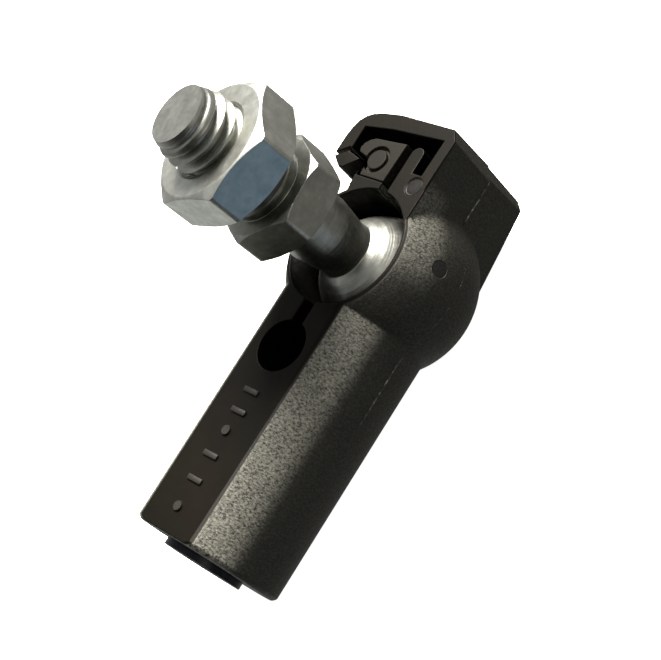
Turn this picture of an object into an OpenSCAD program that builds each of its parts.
// Press-in ball socket end with a threaded ball stud and its hex nut.
// Origin at the ball's centre, +X along the rod axis towards the head, +Z out of the front face.

/* [Shank] */
// Diameter of the round shank
shank_d = 16; // [14.8:0.1:19.4]
// Distance from the ball's centre to the shank's open end
shank_len = 33.2; // [31:0.1:60]
// Height of the front face above the ball's top
front_rise = 0.5; // [0:0.1:0.8]

/* [Housing] */
// Wall of the round housing behind the ball's seat
housing_wall = 3.3; // [3:0.1:5]
// Radial running clearance between the ball and its seat
seat_gap = 0.05; // [0.02:0.01:0.1]
// How much narrower than the ball the throat is, to hold it in
throat_grip = 0.5; // [0.2:0.1:1]
// How much wider than the ball the mouth is at the front face
mouth_flare = 0.2; // [0:0.1:0.6]

/* [Keyhole] */
// Diameter of the round relief hole in the shank
keyhole_d = 5.7; // [4:0.1:6.4]
// Web between the mouth and the relief hole
keyhole_web = 2.45; // [1:0.05:4]
// Depth of the relief hole under the front face
keyhole_depth = 6.5; // [4:0.1:9]
// Width of the slit from the mouth to the relief hole
slit_w = 1.6; // [0.8:0.1:2.4]

/* [Head] */
// Width of the head on its narrow side, from the rod axis
head_near = 5.3; // [5:0.1:6.5]
// Width of the head on its latch side, from the rod axis
head_far = 9; // [8.8:0.1:10]
// Depth of the head behind the ball's centre, at its inner end
head_back = 8; // [6.5:0.1:9]
// Thickness of the wall at the head's end
end_wall = 1.6; // [1:0.1:2]
// Thickness of the wall on the latch side
latch_wall = 1.9; // [1:0.1:2.2]
// Thickness of the wall on the narrow side
near_wall = 1.5; // [1:0.1:1.8]
// Depth of the pocket under the front face
pocket_depth = 8; // [6:0.1:9]
// Thickness of the lip in front of the pocket
lip_t = 0.85; // [0.6:0.05:1]
// Width of the gap between the two lips
lip_gap = 1.2; // [0.8:0.1:1.6]

/* [Locking slide] */
// Length of the slide along the rod axis
slide_len = 4.6; // [3.8:0.1:6]
// How far the slide travels away from the ball
slide_travel = 1; // [0.6:0.1:2]
// Width of the slide's top plate
slide_w = 5.6; // [5:0.1:5.8]
// Thickness of the slide's top plate
slide_plate_t = 3; // [2:0.1:4]
// Working clearance round the slide
slide_gap = 0.1; // [0.05:0.01:0.15]
// Length and height of the rail that keeps the slide in
rail_len = 1.6; // [1:0.1:2]
rail_h = 1; // [0.6:0.1:1.4]
// How far the rail stands into the latch side wall
rail_bite = 0.5; // [0.3:0.1:0.7]

/* [Threaded insert] */
// Nominal thread diameter of the insert
rod_thread_d = 6; // [4:0.5:6]
// Outer diameter of the insert
insert_d = 8.66; // [8:0.02:10]
// Length of the insert inside the shank
insert_len = 16; // [10:0.5:16]
// How far the insert's collar stands out of the shank
collar_h = 0.8; // [0.2:0.1:2]
// Depth and width of the insert's two keying grooves
key_groove = 0.45; // [0.2:0.05:0.6]
key_groove_w = 2.6; // [1:0.1:3]

/* [Ball stud] */
// Ball diameter
ball_d = 13; // [12:0.1:16]
// Diameter of the neck's waist
waist_d = 6.2; // [5:0.1:6.6]
// Diameter of the neck under the hexagon
neck_d = 7.4; // [6.6:0.1:8]
// Length of the neck between the ball's top and the hexagon
neck_len = 6.9; // [6.5:0.1:12]
// Width across flats of the stud's hexagon
hex_af = 11; // [9.6:0.1:13]
// Height of the stud's hexagon
hex_h = 4.1; // [3:0.1:5]
// Nominal thread diameter of the stud
thread_d = 8; // [6.5:0.1:10]
// Length of the stud's thread from the hexagon's seat
thread_len = 12.3; // [11.2:0.1:20]
// Lean of the stud at rest, across the rod axis, in degrees
lean_across = 9; // [0:1:15]
// Lean of the stud at rest, along the rod axis, in degrees
lean_along = -1.4; // [-10:0.2:10]

/* [Hex nut] */
// Width across flats of the nut
nut_af = 13; // [11.5:0.1:17]
// Height of the nut
nut_h = 5; // [4:0.1:6.8]
// Gap between the stud's seat and the nut at rest
nut_stand = 2.9; // [2.6:0.1:5]
// Clearance between the nut's plain bore and the thread's crests
nut_gap = 0.05; // [0.02:0.01:0.1]

/* [Hidden] */
$fn = 96;

over = 1;                                   // how far a cut runs past a face
black = [0.15, 0.15, 0.14];
zinc = [0.72, 0.74, 0.76];

ball_r = ball_d / 2;
seat_r = ball_r + seat_gap;
throat_r = ball_r - throat_grip / 2;
throat_z = sqrt(seat_r * seat_r - throat_r * throat_r);
mouth_r = ball_r + mouth_flare / 2;
front_h = ball_r + front_rise;              // the front face, above the ball's centre
housing_r = seat_r + housing_wall;
keyhole_x = mouth_r + keyhole_web + keyhole_d / 2;
seat_z = ball_r + neck_len + hex_h;         // the hexagon's seat for the arm

// the head's pocket, in plan
lip_x = seat_r + lip_t;                     // front wall of the pocket
slide_x = lip_x + slide_gap;
end_room = 0.3;                             // left beyond the slide when it is drawn back
pocket_end = slide_x + slide_len + slide_travel + end_room;
head_len = pocket_end + end_wall;
pocket_far = head_far - latch_wall;
pocket_near = head_near - near_wall;
gap_far = 0.35;                             // the lip gap lies a little off the rod axis
gap_near = gap_far - lip_gap;
finger_w = 1.65;
finger_x = head_len - 3.7;                  // centre of the finger's round end
floor_z = front_h - pocket_depth;
notch_z = front_h / 2;                      // floor of the side notch beside the far lip
notch_y = 4.35;                             // far edge of the far lip
rim_clear = 1.3;                            // how far the notch stops short of the mouth's rim
wall_x = lip_x + 1.5;                       // where the latch side wall begins, beyond the notch
rail_z = floor_z + 1.5;

// the nested spheres inside the ball
core_gap = 0.05;
core_inner_r = ball_r * 0.25;
core_outer_r = ball_r * 0.5;

// the nut and the ring that carries its thread
ring_t = 0.25;
ring_inset = 0.5;
thread_r = thread_d / 2;
ring_r = thread_r + nut_gap;
nut_bore_r = ring_r + ring_t + nut_gap;
nut_z = seat_z + nut_stand;
nut_turn = 42.3;                            // turn of the nut's corners about the stud
hex_turn = 3.7;                             // turn of the hexagon's corners about the stud
corner_slope = tan(30);                     // slope of the turned corner chamfers

module stud_axis() {
    rotate([-lean_across, 0, 0]) rotate([0, lean_along, 0]) children();
}

// a plain disc's solid whose two rims are turned away, to intersect with a hexagon
module corner_turning(face_r, corner_r, z0, h) {
    drop = (corner_r - face_r) * corner_slope;
    rotate_extrude() polygon([[0, z0], [face_r, z0], [corner_r, z0 + drop], [corner_r, z0 + h - drop],
                              [face_r, z0 + h], [0, z0 + h]]);
}

module chamfered_hex(af, face_r, z0, h, turn) {
    corner_r = af / sqrt(3);
    intersection() {
        translate([0, 0, z0]) rotate([0, 0, turn]) cylinder(r = corner_r, h = h, $fn = 6);
        corner_turning(face_r, corner_r + 0.01, z0, h);
    }
}

// ---- socket body ----

module head_block() {
    parting = 0.2;                          // step at the mould's parting plane
    intersection() {
        translate([0, 0, -head_back]) linear_extrude(front_h + head_back)
            polygon([[2, -head_near - parting], [head_len - 1.5, -head_near - parting],
                     [head_len + parting, -head_near + 1.1], [head_len + parting, 1.5],
                     [head_len - 0.1, 4.2], [head_len - 0.35, head_far - 3], [head_len - 0.65, head_far - 2],
                     [head_len - 1.1, head_far - 1.2], [head_len - 1.8, head_far - 0.6],
                     [head_len - 2.8, head_far - 0.25], [wall_x + 0.1, head_far + parting],
                     [lip_x, head_far - 2], [lip_x - rim_clear, notch_y], [2, 4]]);
        translate([0, 20, 0]) rotate([90, 0, 0]) linear_extrude(40)
            polygon([[0, front_h], [head_len, front_h], [head_len + parting, 0], [head_len, 0],
                     [head_len - 0.1, 1.8 - head_back], [head_len - 0.8, 1.3 - head_back], [4, -head_back],
                     [0, -head_back]]);
        rotate([90, 0, 90]) linear_extrude(40)
            polygon([[-head_near, front_h], [-head_near - parting, 0], [-head_near, 0],
                     [-head_near + 0.3, -head_back], [head_far - 0.4, -head_back], [head_far - 0.2, 0],
                     [head_far, 0], [head_far - 0.1, front_h]]);
    }
}

module pocket() {
    translate([0, 0, floor_z]) linear_extrude(pocket_depth + over) difference() {
        polygon([[lip_x, gap_near], [lip_x, notch_y], [lip_x + 1.6, notch_y + 0.3], [lip_x + 2.2, pocket_far],
                 [pocket_end - 0.7, pocket_far + 0.1], [pocket_end - 0.2, 3.2],
                 [pocket_end + 0.1, -pocket_near - 0.1], [lip_x + 1.9, -pocket_near], [lip_x + 1.9, gap_near]]);
        // the finger that stands beside the lip gap
        translate([0, gap_near - finger_w]) union() {
            square([finger_x, finger_w]);
            translate([finger_x, finger_w / 2]) circle(d = finger_w);
        }
    }
    // groove for the slide's rail, long enough for its travel
    translate([slide_x + 2, 4, rail_z - slide_gap])
        cube([pocket_end - slide_x - 2.4, pocket_far - 4 + rail_bite + slide_gap, rail_h + 2 * slide_gap]);
}

// open side beside the far lip, with the small post left standing in it
module side_notch() {
    slit = 0.35;
    translate([0, 0, notch_z]) linear_extrude(front_h) difference() {
        polygon([[lip_x - rim_clear, notch_y + 0.1], [wall_x + 0.3, notch_y + 0.1],
                 [wall_x + 1.2, pocket_far + 0.3], [wall_x + 0.1, head_far], [wall_x - 0.6, head_far + 1],
                 [lip_x - rim_clear, head_far + 1]]);
        polygon([[wall_x + 0.3, notch_y + 0.75], [wall_x + 1.2 - slit, pocket_far],
                 [wall_x + 0.1 - slit, head_far - 0.2], [wall_x - 0.6 - slit, head_far + 1],
                 [lip_x - 0.5, head_far + 1], [lip_x + 0.35, pocket_far - 0.35]]);
    }
}

module seat_and_mouth() {
    steps = 24;
    low = 90;
    high = asin(throat_z / seat_r);
    rotate_extrude() polygon([
        for (i = [0:steps]) let (a = -low + (low + high) * i / steps) [seat_r * cos(a), seat_r * sin(a)],
        [mouth_r, front_h], [mouth_r, front_h + over], [0, front_h + over]]);
}

module insert_outline(bore_r) {
    r = insert_d / 2;
    polygon([[bore_r, -collar_h], [r, -collar_h], [r, 2], [r - key_groove, 2], [r - key_groove, 2 + key_groove_w],
             [r, 2 + key_groove_w], [r, insert_len - 2 - key_groove_w], [r - key_groove, insert_len - 2 - key_groove_w],
             [r - key_groove, insert_len - 2], [r, insert_len - 2], [r, insert_len], [bore_r, insert_len]]);
}

module at_shank_end() {
    translate([-shank_len, 0, 0]) rotate([0, 90, 0]) children();
}

module socket_body() {
    color(black) difference() {
        union() {
            // shank with a small rounding at its end
            at_shank_end() rotate_extrude() polygon([[0, 0], [shank_d / 2 - 0.4, 0], [shank_d / 2, 0.4],
                                                     [shank_d / 2, shank_len], [0, shank_len]]);
            sphere(r = housing_r);
            head_block();
        }
        translate([-shank_len - over, -20, front_h]) cube([shank_len + head_len + 20, 40, 20]);
        seat_and_mouth();
        // relief hole and its slit
        translate([-keyhole_x, 0, front_h - keyhole_depth]) cylinder(d = keyhole_d, h = keyhole_depth + over);
        translate([-keyhole_x, -slit_w / 2, 1]) cube([keyhole_x - 3, slit_w, front_h]);
        // gap between the lips
        translate([3, gap_near, 0]) cube([lip_x + 2 - 3, lip_gap, front_h + over]);
        pocket();
        side_notch();
        at_shank_end() rotate_extrude() insert_outline(0);
        // shallow round marks of the mould's pins
        translate([lip_x + 0.6, -pocket_near + 0.1, front_h - 0.15]) cylinder(r = 1, h = over);
        translate([lip_x + 0.7, -head_near - 0.2, front_h - 0.3]) cylinder(r = 0.3, h = over);
    }
}

// ---- locking slide ----

module locking_slide() {
    color(black) difference() {
        union() {
            translate([slide_x, gap_far + slide_gap, front_h - slide_plate_t]) linear_extrude(slide_plate_t - 0.05)
                polygon([[0, 0], [slide_len, -0.1], [slide_len - 0.3, slide_w - 1.4],
                         [slide_len - 0.6, slide_w - 0.7], [slide_len - 1.1, slide_w - 0.2],
                         [slide_len - 1.7, slide_w], [2.4, slide_w - 0.2], [2, notch_y - gap_far - 0.2],
                         [0, notch_y - gap_far - 0.5]]);
            // foot that slides on the pocket's floor
            translate([slide_x + 0.6, gap_far + 0.8, floor_z + 0.02])
                cube([slide_len - 1.4, notch_y - gap_far - 0.9, front_h - slide_plate_t - floor_z]);
            // rail that runs in the latch side wall
            translate([slide_x + 2.2, notch_y - 0.4, rail_z])
                cube([rail_len, pocket_far + rail_bite - notch_y + 0.4, rail_h]);
        }
        // thumb recess and the round mark of the mould's pin
        translate([slide_x + 2.1, 3, front_h - 0.5]) difference() {
            cylinder(r = 1.55, h = 1);
            translate([0, 0, -1]) cylinder(r = 1.15, h = 3);
        }
    }
}

// ---- threaded insert ----

module threaded_insert() {
    color(zinc) at_shank_end() difference() {
        rotate_extrude() insert_outline(rod_thread_d / 2);
        translate([0, 0, -collar_h - 0.01]) cylinder(r1 = rod_thread_d / 2 + 0.5, r2 = rod_thread_d / 2, h = 0.5);
    }
}

// ---- ball stud ----

module ball_stud() {
    waist_r = waist_d / 2;
    neck_r = neck_d / 2;
    steps = 32;
    top = acos(waist_r / ball_r);
    waist_z = ball_r * sin(top);
    tip_r = thread_r * 0.8;
    tip_z = seat_z + thread_len;
    hex_z = seat_z - hex_h;
    color(zinc) stud_axis() difference() {
        union() {
            rotate_extrude() polygon([
                for (i = [0:steps]) let (a = -90 + (90 + top) * i / steps) [ball_r * cos(a), ball_r * sin(a)],
                [waist_r, waist_z + 0.8], [neck_r, waist_z + 4.2], [neck_r, hex_z + 0.5], [0, hex_z + 0.5]]);
            chamfered_hex(hex_af, hex_af / 2 + 0.05, hex_z, hex_h, hex_turn);
            translate([0, 0, seat_z - 0.5]) cylinder(r = thread_r, h = thread_len - 0.3);
            translate([0, 0, tip_z - 0.8]) cylinder(r1 = thread_r, r2 = tip_r, h = 0.8);
        }
        sphere(r = core_outer_r + core_gap);
    }
}

module ball_core_outer() {
    color(zinc) difference() {
        sphere(r = core_outer_r);
        sphere(r = core_inner_r + core_gap);
    }
}

module ball_core_inner() {
    color(zinc) sphere(r = core_inner_r);
}

// ---- hex nut ----

module hex_nut() {
    face_r = nut_af / 2 - 0.2;
    color(zinc) stud_axis() difference() {
        chamfered_hex(nut_af, face_r, nut_z, nut_h, nut_turn);
        translate([0, 0, nut_z - over]) cylinder(r = nut_bore_r, h = nut_h + 2 * over);
    }
}

module nut_thread_ring() {
    color(zinc) stud_axis() translate([0, 0, nut_z + ring_inset]) difference() {
        cylinder(r = ring_r + ring_t, h = nut_h - 2 * ring_inset);
        translate([0, 0, -over]) cylinder(r = ring_r, h = nut_h + 2 * over);
    }
}

socket_body();
locking_slide();
threaded_insert();
ball_stud();
ball_core_outer();
ball_core_inner();
hex_nut();
nut_thread_ring();
